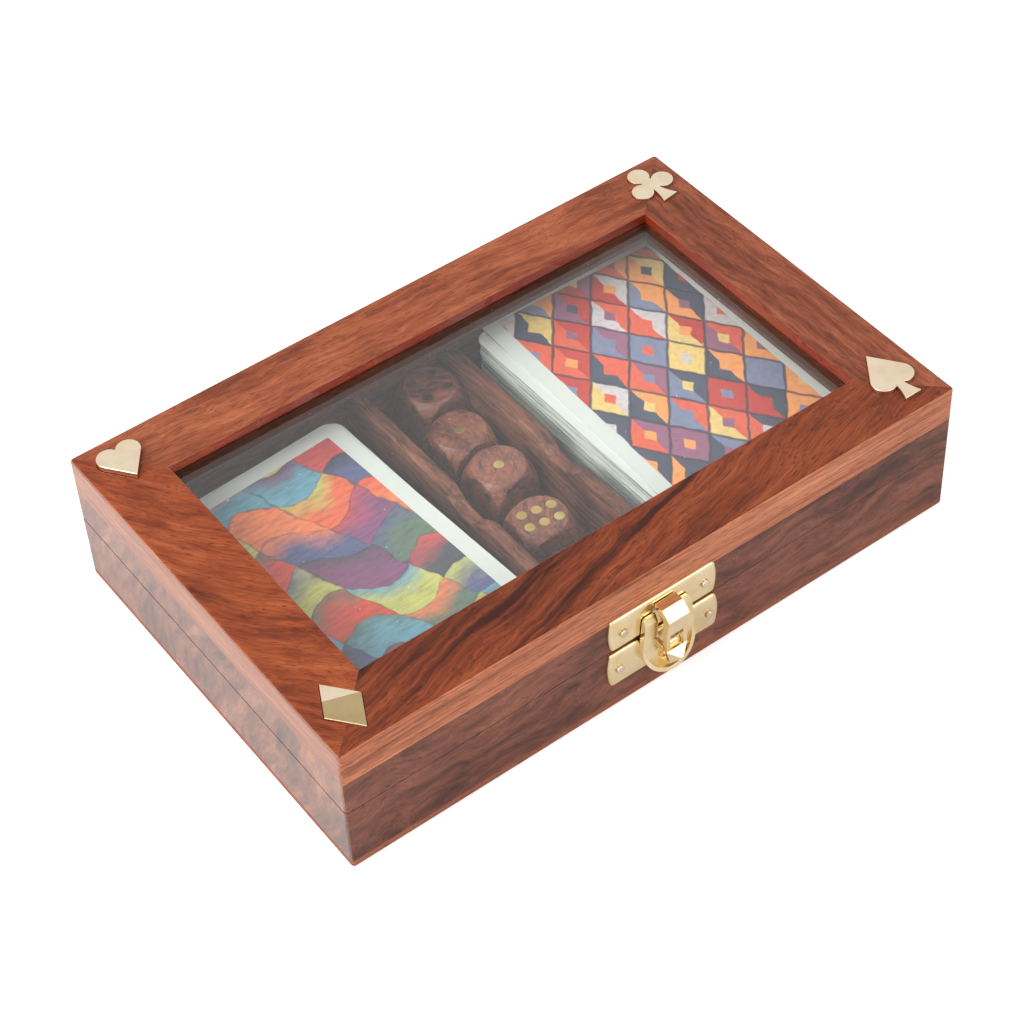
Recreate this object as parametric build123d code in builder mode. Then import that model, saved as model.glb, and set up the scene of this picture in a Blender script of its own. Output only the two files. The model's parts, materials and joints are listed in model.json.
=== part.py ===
"""Wooden games box with a hinged, glazed lid, holding two card decks and four dice.

Millimetres, +Z up. The origin is the centre of the underside. X runs along the long
sides, the latch is on the front at -Y and the hinges are on the back at +Y.
The lid is modelled closed. Depth off the front face is written as h, so y = FRONT_Y - h.
"""
from build123d import *
from math import acos, asin, atan2, cos, hypot, sin, sqrt
import os

os.makedirs("parts", exist_ok=True)

# ---- Contents that the box is sized for ----
CARD_W = 57.0
CARD_L = 89.0
CARD_T = 0.35
CARD_CORNER_R = 3.5
DECK_H = 19.0
DIE_SIZE = 14.5
DIE_FLAT_D = 13.0          # round flat left on each face of a die
PIP_D = 2.7
PIP_DEPTH = 0.8
PIP_PITCH = 4.4            # between the columns of a face
PIP_ROW_PITCH = 4.0        # between the rows of the six
PIP_CORNER = 3.3           # centre of a face to its outer pips, each way

# ---- Room round the contents ----
CARD_ROOM_X = 10.0
CARD_ROOM_Y = 12.5
DICE_ROOM = 10.0

# ---- Wood ----
WALL_T = 6.0
PARTITION_T = 3.75
HOUSING_DEPTH = 1.5        # partitions are let into the front and back walls
BOTTOM_T = 2.5
BASE_WALL_H = 17.5
LID_WALL_H = 10.0
RAIL_T = 10.0
RAIL_W = 17.3
CORNER_R = 1.0
TOP_EDGE_R = 0.8
BOTTOM_EDGE_R = 1.0
ROUND_SHARE = 0.8          # largest share of a thickness or corner that a rounding may take
LID_RELIEF_R = 2.0         # rounding of the lid's lower back edge
BASE_RELIEF_R = 0.5        # rounding of the base's upper back edge
SCOOP_TOP = 16.0
SCOOP_BOTTOM = 6.0
SCOOP_DEPTH = 3.2
SCOOP_R = 1.5

# ---- Glass ----
GLASS_T = 2.0
GLASS_LIP = 2.6            # wood above the groove
GROOVE_DEPTH = 4.0

# ---- Brass inlays ----
INLAY_SEAT = 1.5           # depth of each pocket
LOBE_SHARE = 0.27          # radius of a heart's or spade's lobe, as a share of its width
HEART_W = 11.5
HEART_H = 11.8
SPADE_W = 12.0
SPADE_LEAF_H = 12.6
SPADE_STEM_H = 4.2
CLUB_LOBE_R = 2.9
CLUB_SPREAD = 3.6          # centre of a side lobe from the club's axis
CLUB_STEM_H = 6.4          # below the middle of the side lobes
STEM_NECK_W = 1.8
STEM_FOOT_W = 5.0
DIAMOND_W = 10.6
DIAMOND_H = 16.4

# ---- Hinges ----
HINGE_INSET = 34.0         # end of the box to the middle of a hinge
HINGE_W = 20.0
LEAF_T = 0.9
LEAF_INSET = 1.2           # wall left inside a leaf
BARREL_R = 1.5
BARREL_GAP = 0.2           # barrel behind the back face
HINGE_PIN_R = 0.5
KNUCKLE_GAP = 0.2
SCREW_SPACING = 12.0
SCREW_D = 1.4
SCREW_HEAD_D = 2.6
SCREW_L = 6.0

# ---- Latch ----
LATCH_X = -1.0
LID_PLATE_W = 30.3
LID_PLATE_H = 10.0
LID_PLATE_T = 1.1
LID_PLATE_RISE = 1.0       # lower edge above the seam
LID_PLATE_BOW = 0.7        # each end bulges by this much
BASE_PLATE_W = 31.0
BASE_PLATE_H = 10.8
BASE_PLATE_DROP = 0.1      # upper edge below the seam
BASE_PLATE_BOW = 0.9
PLATE_CORNER_R = 1.2
PLATE_RIM_W = 1.0          # sloping rim round each plate's face
PLATE_RIM_T = 0.5
LID_PIN_INSET = 3.9        # from each end of a plate
BASE_PIN_INSET = 3.1
PLATE_PIN_R = 0.7
PLATE_PIN_L = 4.0
PIN_HEAD_R = 1.1
PIN_HEAD_H = 0.7
PIN_HEAD_BEVEL = 0.2
STIRRUP_TOP_W = 13.4
STIRRUP_W = 15.4
STIRRUP_T = 1.5
STIRRUP_RISE = 7.1         # top of the arms above the seam
STIRRUP_DROP = 0.6         # lowest point below the base plate
SHOULDER_R = 1.0           # outer upper corners of the stirrup's arms
ARM_BEVEL = 1.8            # height of the bevel at the top of each arm
STIRRUP_LIP = 2.4          # lip beyond the stirrup's face
STIRRUP_LIP_T = 1.0
STIRRUP_WEB = 2.5          # metal left below the slot
CATCH_W = 6.0
CATCH_T = 2.2
HOOK_RISE = 9.7            # top of the hook above the seam
HOOK_T = 1.2
CATCH_TOP_H = 4.0          # h where the hook's flat top ends
CATCH_FACE_H = 6.6         # h of the edge below the hook's slanted face
HOOK_SLOPE = 2.3           # height of the slanted face
WINDOW_H = 5.2
WINDOW_SIDE = 1.1
BEAK_FACE_H = 5.7          # h of the rims beside the window and of the beak's root
BEAK_BROW = 0.4            # beak's upper edge below the pivot
BEAK_POINT = 2.5           # beak's tip below the pivot
BEAK_CHIN = 4.7            # beak's lower edge below the pivot
BEAK_CHIN_W = 4.0
BEAK_TIP_H = 7.7           # h of the tip
BEAK_TIP_W = 0.7
BEAK_TIP_L = 0.5
PIVOT_RISE = 2.4           # above the middle of the base plate
PIVOT_H = 3.7
PIVOT_PIN_R = 0.5
CATCH_BARREL_R = 1.0
LUG_T = 1.0
NIB_W = 4.8
NIB_H = 1.6
NIB_END_H = 2.8            # h of the nib's end

# ---- Clearances ----
RUN_FIT = 0.05             # pins in their holes, on the radius
SEAT_FIT = 0.05            # let-in pieces, on each side
GLASS_PLAY = 0.2           # above the glass
GLASS_EDGE_PLAY = 0.5      # each edge of the pane
CATCH_PLAY = 0.2           # between the catch and what it swings past

# ---- Levels and faces that follow ----
CARD_BAY_W = CARD_W + CARD_ROOM_X
DICE_BAY_W = DIE_SIZE + DICE_ROOM
LENGTH = 2 * WALL_T + 2 * CARD_BAY_W + 2 * PARTITION_T + DICE_BAY_W
WIDTH = 2 * WALL_T + CARD_L + CARD_ROOM_Y
BASE_H = BOTTOM_T + BASE_WALL_H
RAIL_Z = BASE_H + LID_WALL_H
TOP_Z = RAIL_Z + RAIL_T
FRONT_Y = -WIDTH / 2
BACK_Y = WIDTH / 2
INNER_L = LENGTH - 2 * WALL_T
INNER_W = WIDTH - 2 * WALL_T
WINDOW_L = LENGTH - 2 * RAIL_W
WINDOW_W = WIDTH - 2 * RAIL_W
GROOVE_TOP = TOP_Z - GLASS_LIP
GROOVE_H = GLASS_T + GLASS_PLAY
GLASS_Z = GROOVE_TOP - GROOVE_H
LEAF_D = WALL_T - LEAF_INSET
HINGE_BACK = BARREL_R + BARREL_GAP
BASE_PLATE_T = LID_PLATE_T + CATCH_PLAY
SIDES = ("front", "back", "left", "right")
CUT_PAST = 1.0             # how far a cut runs past the face that it opens


# ---------------------------------------------------------------- wooden frames
def mitre_wedge(side):
    """Corners of the quarter of the plan that one mitred side keeps."""
    x, y = LENGTH / 2, WIDTH / 2
    ridge = x - y
    return {
        "front": [(-x, -y), (x, -y), (ridge, 0), (-ridge, 0)],
        "back": [(x, y), (-x, y), (-ridge, 0), (ridge, 0)],
        "left": [(-x, y), (-x, -y), (-ridge, 0)],
        "right": [(x, -y), (x, y), (ridge, 0)],
    }[side]


def keep_side(side):
    """Cut the ring being built down to one mitred side."""
    with BuildSketch() as wedge:
        Polygon(*mitre_wedge(side), align=None)
    extrude(wedge.sketch, amount=TOP_Z, mode=Mode.INTERSECT)


def ring(z, height, band):
    """A closed frame of the box's outline, its inner edge `band` inside the outer one."""
    with BuildSketch(Plane.XY.offset(z)) as frame:
        RectangleRounded(LENGTH, WIDTH, CORNER_R)
        Rectangle(LENGTH - 2 * band, WIDTH - 2 * band, mode=Mode.SUBTRACT)
    extrude(frame.sketch, amount=height)


def ease_back_edge(radius, direction):
    """Round the outer back edge at the seam; direction is -1 for the base, 1 for the lid."""
    size = radius + CUT_PAST
    corner = (BACK_Y - radius + size / 2, BASE_H + direction * (radius - size / 2))
    with BuildSketch(Plane.YZ.offset(-LENGTH / 2)) as waste:
        with Locations(corner):
            Rectangle(size, size)
        with Locations((BACK_Y - radius, BASE_H + direction * radius)):
            Circle(radius, mode=Mode.SUBTRACT)
    extrude(waste.sketch, amount=LENGTH, mode=Mode.SUBTRACT)


# ---------------------------------------------------------------- inlay outlines
def leaf(width, height, play):
    """A heart, tip towards -Y: two lobes and the straight sides that touch them.

    It is centred on its height, and larger by the given play on every side.
    """
    lobe_r = LOBE_SHARE * width
    lobe_x = width / 2 - lobe_r
    lobe_y = height / 2 - lobe_r
    tip_y = -height / 2 - 2 * play
    reach = hypot(lobe_x, lobe_y - tip_y)
    side_l = sqrt(reach**2 - (lobe_r + play) ** 2)
    lean = atan2(lobe_x, lobe_y - tip_y) + asin((lobe_r + play) / reach)
    touch = (side_l * sin(lean), tip_y + side_l * cos(lean))
    with BuildSketch() as outline:
        Polygon((0, tip_y), touch, (lobe_x, lobe_y), (-lobe_x, lobe_y), (-touch[0], touch[1]), align=None)
        with Locations((lobe_x, lobe_y), (-lobe_x, lobe_y)):
            Circle(lobe_r + play)
    return outline.sketch


def stem(top_y, foot_y, play):
    """Flared foot under a club or a spade, its narrow end at top_y."""
    neck = STEM_NECK_W / 2 + play
    foot = STEM_FOOT_W / 2 + play
    with BuildSketch() as outline:
        with BuildLine():
            Line((-neck, top_y), (neck, top_y))
            TangentArc((neck, top_y), (foot, foot_y - play), tangent=(0, -1))
            Line((foot, foot_y - play), (-foot, foot_y - play))
            TangentArc((-neck, top_y), (-foot, foot_y - play), tangent=(0, -1))
        make_face()
    return outline.sketch


def heart(play):
    """Heart, larger by the given play on every side."""
    return leaf(HEART_W, HEART_H, play)


def spade(play):
    """Spade: a heart turned over, on a stem; the middle of its height is at the origin."""
    foot_y = -(SPADE_LEAF_H + SPADE_STEM_H) / 2
    leaf_y = foot_y + SPADE_STEM_H + SPADE_LEAF_H / 2
    with BuildSketch() as outline:
        with Locations(Location((0, leaf_y, 0), (0, 0, 180))):
            add(leaf(SPADE_W, SPADE_LEAF_H, play))
        add(stem(leaf_y - SPADE_LEAF_H / 4, foot_y, play))
    return outline.sketch


def club(play):
    """Club: three round lobes on a stem."""
    low_y = -CLUB_LOBE_R / 2
    with BuildSketch() as outline:
        with Locations((0, CLUB_SPREAD), (-CLUB_SPREAD, low_y), (CLUB_SPREAD, low_y)):
            Circle(CLUB_LOBE_R + play)
        Circle(CLUB_SPREAD / 2)
        add(stem(low_y, low_y - CLUB_STEM_H, play))
    return outline.sketch


def diamond(play):
    """Diamond, larger by the given play on every side."""
    with BuildSketch() as outline:
        tip_x = DIAMOND_W / 2 + 2 * play
        tip_y = DIAMOND_H / 2 + 2 * play
        Polygon((0, tip_y), (-tip_x, 0), (0, -tip_y), (tip_x, 0), align=None)
    return outline.sketch


# outline, corner of the lid (x, y signs), inset of its centre from that corner as shares of
# the rail's width, turn, height proud as a share of the pocket's depth
INLAYS = {
    "heart_inlay": (heart, (-1, 1), (0.555, 0.578), 0.0, 1.0),
    "club_inlay": (club, (1, 1), (0.532, 0.509), 8.0, 0.53),
    "spade_inlay": (spade, (1, -1), (0.566, 0.705), 0.0, 0.8),
    "diamond_inlay": (diamond, (-1, -1), (0.514, 0.647), 6.0, 0.2),
}


def inlay_place(name):
    """Centre and turn of an inlay on the plan."""
    _, signs, inset, turn, _ = INLAYS[name]
    x = signs[0] * (LENGTH / 2 - inset[0] * RAIL_W)
    y = signs[1] * (WIDTH / 2 - inset[1] * RAIL_W)
    return Location((x, y, 0), (0, 0, turn))


def cut_inlay_pockets():
    """Pockets in the top of the frame being built."""
    for name, (outline, *_) in INLAYS.items():
        with BuildSketch(Plane.XY.offset(TOP_Z - INLAY_SEAT)) as pocket:
            with Locations(inlay_place(name)):
                add(outline(SEAT_FIT))
        extrude(pocket.sketch, amount=INLAY_SEAT + CUT_PAST, mode=Mode.SUBTRACT)


for name, (outline, *_, proud) in INLAYS.items():
    with BuildPart() as inlay:
        with BuildSketch(Plane.XY.offset(TOP_Z - INLAY_SEAT)):
            with Locations(inlay_place(name)):
                add(outline(0))
        extrude(amount=INLAY_SEAT * (1 + proud))
    inlay.part.label = name
    export_step(inlay.part, f"parts/{name}.step")

# ---------------------------------------------------------------- hinge places
HINGE_CENTRES = (-(LENGTH / 2 - HINGE_INSET), LENGTH / 2 - HINGE_INSET)
HINGE_SIDE = {"left": HINGE_CENTRES[0], "right": HINGE_CENTRES[1]}
AXIS_Y = BACK_Y + HINGE_BACK
SCREW_Y = BACK_Y - LEAF_D / 2
SCREW_PLACES = [(x + side * SCREW_SPACING / 2, SCREW_Y) for x in HINGE_CENTRES for side in (-1, 1)]


def cut_hinge_seats(direction):
    """Leaf mortises and screw holes in a back wall; direction is -1 below the seam, 1 above."""
    with BuildSketch(Plane.XY.offset(BASE_H)) as mortises:
        with Locations(*[(x, BACK_Y - LEAF_D / 2) for x in HINGE_CENTRES]):
            Rectangle(HINGE_W + 2 * SEAT_FIT, LEAF_D + 2 * SEAT_FIT)
    extrude(mortises.sketch, amount=direction * LEAF_T, mode=Mode.SUBTRACT)
    with BuildSketch(Plane.XY.offset(BASE_H)) as screw_holes:
        with Locations(*SCREW_PLACES):
            Circle(SCREW_D / 2 + RUN_FIT)
    extrude(screw_holes.sketch, amount=direction * (SCREW_L + SEAT_FIT), mode=Mode.SUBTRACT)


# ---------------------------------------------------------------- latch places
LID_PLATE_Z = BASE_H + LID_PLATE_RISE + LID_PLATE_H / 2
BASE_PLATE_Z = BASE_H - BASE_PLATE_DROP - BASE_PLATE_H / 2
LID_PIN_REACH = LID_PLATE_W / 2 + LID_PLATE_BOW - LID_PIN_INSET
BASE_PIN_REACH = BASE_PLATE_W / 2 + BASE_PLATE_BOW - BASE_PIN_INSET
FRONT = Plane(origin=(0, FRONT_Y, 0), x_dir=(1, 0, 0), z_dir=(0, -1, 0))


def pin_places(reach, z):
    """Centres of a plate's two pins on the front face, each `reach` from the latch's middle."""
    return [(LATCH_X - reach, z), (LATCH_X + reach, z)]


def cut_pin_holes(places, depth):
    """Holes for a plate's pins, from the front face; a negative depth goes into the wall."""
    with BuildSketch(FRONT) as holes:
        with Locations(*places):
            Circle(PLATE_PIN_R + SEAT_FIT)
    extrude(holes.sketch, amount=depth, mode=Mode.SUBTRACT)


# ---------------------------------------------------------------- base
with BuildPart() as bottom_board:
    with BuildSketch():
        Rectangle(LENGTH, WIDTH)
    extrude(amount=BOTTOM_T)
    fillet(bottom_board.faces().sort_by(Axis.Z)[0].edges(), min(BOTTOM_EDGE_R, ROUND_SHARE * BOTTOM_T))
    with BuildSketch():
        RectangleRounded(LENGTH, WIDTH, CORNER_R)
    extrude(amount=BOTTOM_T, mode=Mode.INTERSECT)
bottom_board.part.label = "bottom_board"
export_step(bottom_board.part, "parts/bottom_board.step")

PARTITION_X = {
    "left": -(DICE_BAY_W + PARTITION_T) / 2,
    "right": (DICE_BAY_W + PARTITION_T) / 2,
}

for side in SIDES:
    with BuildPart() as base_wall:
        ring(BOTTOM_T, BASE_WALL_H, WALL_T)
        if side in ("front", "back"):
            with BuildSketch(Plane.XY.offset(BOTTOM_T)):
                with Locations(*[(x, 0) for x in PARTITION_X.values()]):
                    Rectangle(PARTITION_T + 2 * SEAT_FIT, INNER_W + 2 * (HOUSING_DEPTH + SEAT_FIT))
            extrude(amount=BASE_WALL_H, mode=Mode.SUBTRACT)
        ease_back_edge(BASE_RELIEF_R, -1)
        cut_hinge_seats(-1)
        cut_pin_holes(pin_places(BASE_PIN_REACH, BASE_PLATE_Z), -(PLATE_PIN_L + SEAT_FIT))
        keep_side(side)
    base_wall.part.label = f"base_wall_{side}"
    export_step(base_wall.part, f"parts/base_wall_{side}.step")

for side, x in PARTITION_X.items():
    with BuildPart() as partition:
        with BuildSketch(Plane.YZ.offset(x - PARTITION_T / 2)) as profile:
            with Locations((0, BOTTOM_T + BASE_WALL_H / 2)):
                Rectangle(INNER_W + 2 * HOUSING_DEPTH, BASE_WALL_H)
            Polygon(
                (-SCOOP_TOP / 2, BASE_H),
                (-SCOOP_BOTTOM / 2, BASE_H - SCOOP_DEPTH),
                (SCOOP_BOTTOM / 2, BASE_H - SCOOP_DEPTH),
                (SCOOP_TOP / 2, BASE_H),
                align=None,
                mode=Mode.SUBTRACT,
            )
            dip = profile.vertices().filter_by(lambda v: abs(v.X) < INNER_W / 4 and v.Y > BOTTOM_T)
            fillet(dip, SCOOP_R)
        extrude(amount=PARTITION_T)
    partition.part.label = f"partition_{side}"
    export_step(partition.part, f"parts/partition_{side}.step")

# ---------------------------------------------------------------- lid
for side in SIDES:
    with BuildPart() as lid_wall:
        ring(BASE_H, LID_WALL_H, WALL_T)
        ease_back_edge(LID_RELIEF_R, 1)
        cut_hinge_seats(1)
        cut_pin_holes(pin_places(LID_PIN_REACH, LID_PLATE_Z), -(PLATE_PIN_L + SEAT_FIT))
        keep_side(side)
    lid_wall.part.label = f"lid_wall_{side}"
    export_step(lid_wall.part, f"parts/lid_wall_{side}.step")

for side in SIDES:
    with BuildPart() as lid_rail:
        ring(RAIL_Z, RAIL_T, RAIL_W)
        top_face = lid_rail.faces().sort_by(Axis.Z)[-1]
        fillet(top_face.outer_wire().edges(), min(TOP_EDGE_R, ROUND_SHARE * CORNER_R))
        with BuildSketch(Plane.XY.offset(GLASS_Z)):
            Rectangle(WINDOW_L + 2 * GROOVE_DEPTH, WINDOW_W + 2 * GROOVE_DEPTH)
        extrude(amount=GROOVE_H, mode=Mode.SUBTRACT)
        keep_side(side)
        cut_inlay_pockets()
    lid_rail.part.label = f"lid_rail_{side}"
    export_step(lid_rail.part, f"parts/lid_rail_{side}.step")

with BuildPart() as glass_pane:
    pane_edge = 2 * (GROOVE_DEPTH - GLASS_EDGE_PLAY)
    with BuildSketch(Plane.XY.offset(GLASS_Z)):
        Rectangle(WINDOW_L + pane_edge, WINDOW_W + pane_edge)
    extrude(amount=GLASS_T)
glass_pane.part.label = "glass_pane"
export_step(glass_pane.part, "parts/glass_pane.step")

# ---------------------------------------------------------------- hinges
KNUCKLE_L = (HINGE_W - 2 * KNUCKLE_GAP) / 3
KNUCKLE_PITCH = KNUCKLE_L + KNUCKLE_GAP


def countersink(place, direction, play, mode):
    """Cone through a leaf, widest at the seam; direction is -1 below the seam, 1 above."""
    with BuildSketch(Plane.XY.offset(BASE_H)) as mouth:
        with Locations(place):
            Circle(SCREW_HEAD_D / 2 + play)
    with BuildSketch(Plane.XY.offset(BASE_H + direction * LEAF_T)) as throat:
        with Locations(place):
            Circle(SCREW_D / 2 + play)
    loft([mouth.sketch.face(), throat.sketch.face()], mode=mode)


def hinge_leaf(hinge_x, direction, knuckles):
    """Leaf and knuckles of one hinge half; direction is -1 below the seam, 1 above."""
    with BuildSketch(Plane.XY.offset(BASE_H)) as leaf:
        with Locations((hinge_x, BACK_Y - LEAF_D / 2)):
            Rectangle(HINGE_W, LEAF_D)
        with Locations(*[(hinge_x + k * KNUCKLE_PITCH, BACK_Y + HINGE_BACK / 2) for k in knuckles]):
            Rectangle(KNUCKLE_L, HINGE_BACK)
    extrude(leaf.sketch, amount=direction * LEAF_T)
    for k in knuckles:
        start = hinge_x + k * KNUCKLE_PITCH - KNUCKLE_L / 2
        with BuildSketch(Plane.YZ.offset(start)) as barrel:
            with Locations((AXIS_Y, BASE_H)):
                Circle(BARREL_R)
        extrude(barrel.sketch, amount=KNUCKLE_L)
    with BuildSketch(Plane.YZ.offset(hinge_x - HINGE_W)) as bore:
        with Locations((AXIS_Y, BASE_H)):
            Circle(HINGE_PIN_R + RUN_FIT)
    extrude(bore.sketch, amount=2 * HINGE_W, mode=Mode.SUBTRACT)
    for side in (-1, 1):
        place = (hinge_x + side * SCREW_SPACING / 2, SCREW_Y)
        countersink(place, direction, RUN_FIT, Mode.SUBTRACT)


for name, hinge_x in HINGE_SIDE.items():
    with BuildPart() as base_leaf:
        hinge_leaf(hinge_x, -1, (-1, 1))
    base_leaf.part.label = f"hinge_leaf_base_{name}"
    export_step(base_leaf.part, f"parts/hinge_leaf_base_{name}.step")

    with BuildPart() as lid_leaf:
        hinge_leaf(hinge_x, 1, (0,))
    lid_leaf.part.label = f"hinge_leaf_lid_{name}"
    export_step(lid_leaf.part, f"parts/hinge_leaf_lid_{name}.step")

with BuildPart() as hinge_pins:
    for hinge_x in HINGE_CENTRES:
        with BuildSketch(Plane.YZ.offset(hinge_x - HINGE_W / 2)):
            with Locations((AXIS_Y, BASE_H)):
                Circle(HINGE_PIN_R)
        extrude(amount=HINGE_W)
hinge_pins.part.label = "hinge_pins"
export_step(hinge_pins.part, "parts/hinge_pins.step")


def hinge_screws(direction):
    """Countersunk screws of all leaves on one side of the seam, heads flush with the leaf."""
    for place in SCREW_PLACES:
        countersink(place, direction, 0, Mode.ADD)
        with BuildSketch(Plane.XY.offset(BASE_H + direction * LEAF_T)) as shank:
            with Locations(place):
                Circle(SCREW_D / 2)
        extrude(shank.sketch, amount=direction * (SCREW_L - LEAF_T))


with BuildPart() as hinge_screws_base:
    hinge_screws(-1)
hinge_screws_base.part.label = "hinge_screws_base"
export_step(hinge_screws_base.part, "parts/hinge_screws_base.step")

with BuildPart() as hinge_screws_lid:
    hinge_screws(1)
hinge_screws_lid.part.label = "hinge_screws_lid"
export_step(hinge_screws_lid.part, "parts/hinge_screws_lid.step")


# ---------------------------------------------------------------- latch
def profile_point(h, z):
    """A point of a side profile, given its distance off the front face and its height."""
    return (FRONT_Y - h, z)


def side_profile(points, half_width, mode=Mode.ADD):
    """Extrude a closed side profile, given as (h, z) points, to both sides of the latch."""
    with BuildSketch(Plane.YZ.offset(LATCH_X)) as profile:
        Polygon(*[profile_point(h, z) for h, z in points], align=None)
    extrude(profile.sketch, amount=half_width, both=True, mode=mode)


HOOK_TOP = BASE_H + HOOK_RISE
HOOK_UNDER = HOOK_TOP - HOOK_T
HOOK_BACK = LID_PLATE_T + CATCH_PLAY
PIVOT_Z = BASE_PLATE_Z + PIVOT_RISE
STIRRUP_FACE = BASE_PLATE_T + STIRRUP_T
STIRRUP_R = STIRRUP_W / 2
STIRRUP_BOTTOM = BASE_PLATE_Z - BASE_PLATE_H / 2 - STIRRUP_DROP
STIRRUP_CENTRE = STIRRUP_BOTTOM + STIRRUP_R
STIRRUP_TOP = BASE_H + STIRRUP_RISE
SLOT_R = CATCH_W / 2 + CATCH_PLAY      # half of the slot between the stirrup's arms
HUB_W = CATCH_W - 2 * LUG_T            # the catch's width at its pivot


def latch_plate(width, height, bow, z, thickness):
    """A plate on the front face, its ends bowed, its corners rounded and its rim sloping."""
    half_w, half_h = width / 2, height / 2
    with BuildSketch(FRONT.shift_origin((LATCH_X, FRONT_Y, z))) as outline:
        with BuildLine():
            Line((-half_w, half_h), (half_w, half_h))
            ThreePointArc((half_w, half_h), (half_w + bow, 0), (half_w, -half_h))
            Line((half_w, -half_h), (-half_w, -half_h))
            ThreePointArc((-half_w, -half_h), (-half_w - bow, 0), (-half_w, half_h))
        make_face()
        fillet(outline.vertices(), PLATE_CORNER_R)
    plate = extrude(outline.sketch, amount=thickness)
    face = plate.faces().sort_by(Axis.Y)[0]
    chamfer(face.edges(), length=PLATE_RIM_W, length2=PLATE_RIM_T, reference=face)


with BuildPart() as latch_plate_lid:
    latch_plate(LID_PLATE_W, LID_PLATE_H, LID_PLATE_BOW, LID_PLATE_Z, LID_PLATE_T)
    cut_pin_holes(pin_places(LID_PIN_REACH, LID_PLATE_Z), LID_PLATE_T)
    nib_top = HOOK_UNDER - CATCH_PLAY
    nib_points = [
        (LID_PLATE_T / 2, nib_top - NIB_H),
        (LID_PLATE_T / 2, nib_top),
        (NIB_END_H, nib_top),
        (NIB_END_H, nib_top - NIB_H / 2),
    ]
    side_profile(nib_points, NIB_W / 2)
latch_plate_lid.part.label = "latch_plate_lid"
export_step(latch_plate_lid.part, "parts/latch_plate_lid.step")

with BuildPart() as latch_plate_base:
    latch_plate(BASE_PLATE_W, BASE_PLATE_H, BASE_PLATE_BOW, BASE_PLATE_Z, BASE_PLATE_T)
    cut_pin_holes(pin_places(BASE_PIN_REACH, BASE_PLATE_Z), BASE_PLATE_T)
latch_plate_base.part.label = "latch_plate_base"
export_step(latch_plate_base.part, "parts/latch_plate_base.step")


def plate_pins(places, plate_t):
    """A latch plate's pins: a shank in the wall and a flat, bevelled head on the plate."""
    crown = -plate_t - PIN_HEAD_H
    for x, z in places:
        with BuildSketch(Plane(origin=(x, FRONT_Y, z), x_dir=(1, 0, 0), z_dir=(0, 0, 1))) as half:
            Polygon(
                (0, PLATE_PIN_L),
                (PLATE_PIN_R, PLATE_PIN_L),
                (PLATE_PIN_R, -plate_t),
                (PIN_HEAD_R, -plate_t),
                (PIN_HEAD_R, crown + PIN_HEAD_BEVEL),
                (PIN_HEAD_R - PIN_HEAD_BEVEL, crown),
                (0, crown),
                align=None,
            )
        revolve(half.sketch, axis=Axis((x, FRONT_Y, z), (0, 1, 0)))


with BuildPart() as latch_pins_lid:
    plate_pins(pin_places(LID_PIN_REACH, LID_PLATE_Z), LID_PLATE_T)
latch_pins_lid.part.label = "latch_pins_lid"
export_step(latch_pins_lid.part, "parts/latch_pins_lid.step")

with BuildPart() as latch_pins_base:
    plate_pins(pin_places(BASE_PIN_REACH, BASE_PLATE_Z), BASE_PLATE_T)
latch_pins_base.part.label = "latch_pins_base"
export_step(latch_pins_base.part, "parts/latch_pins_base.step")

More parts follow.
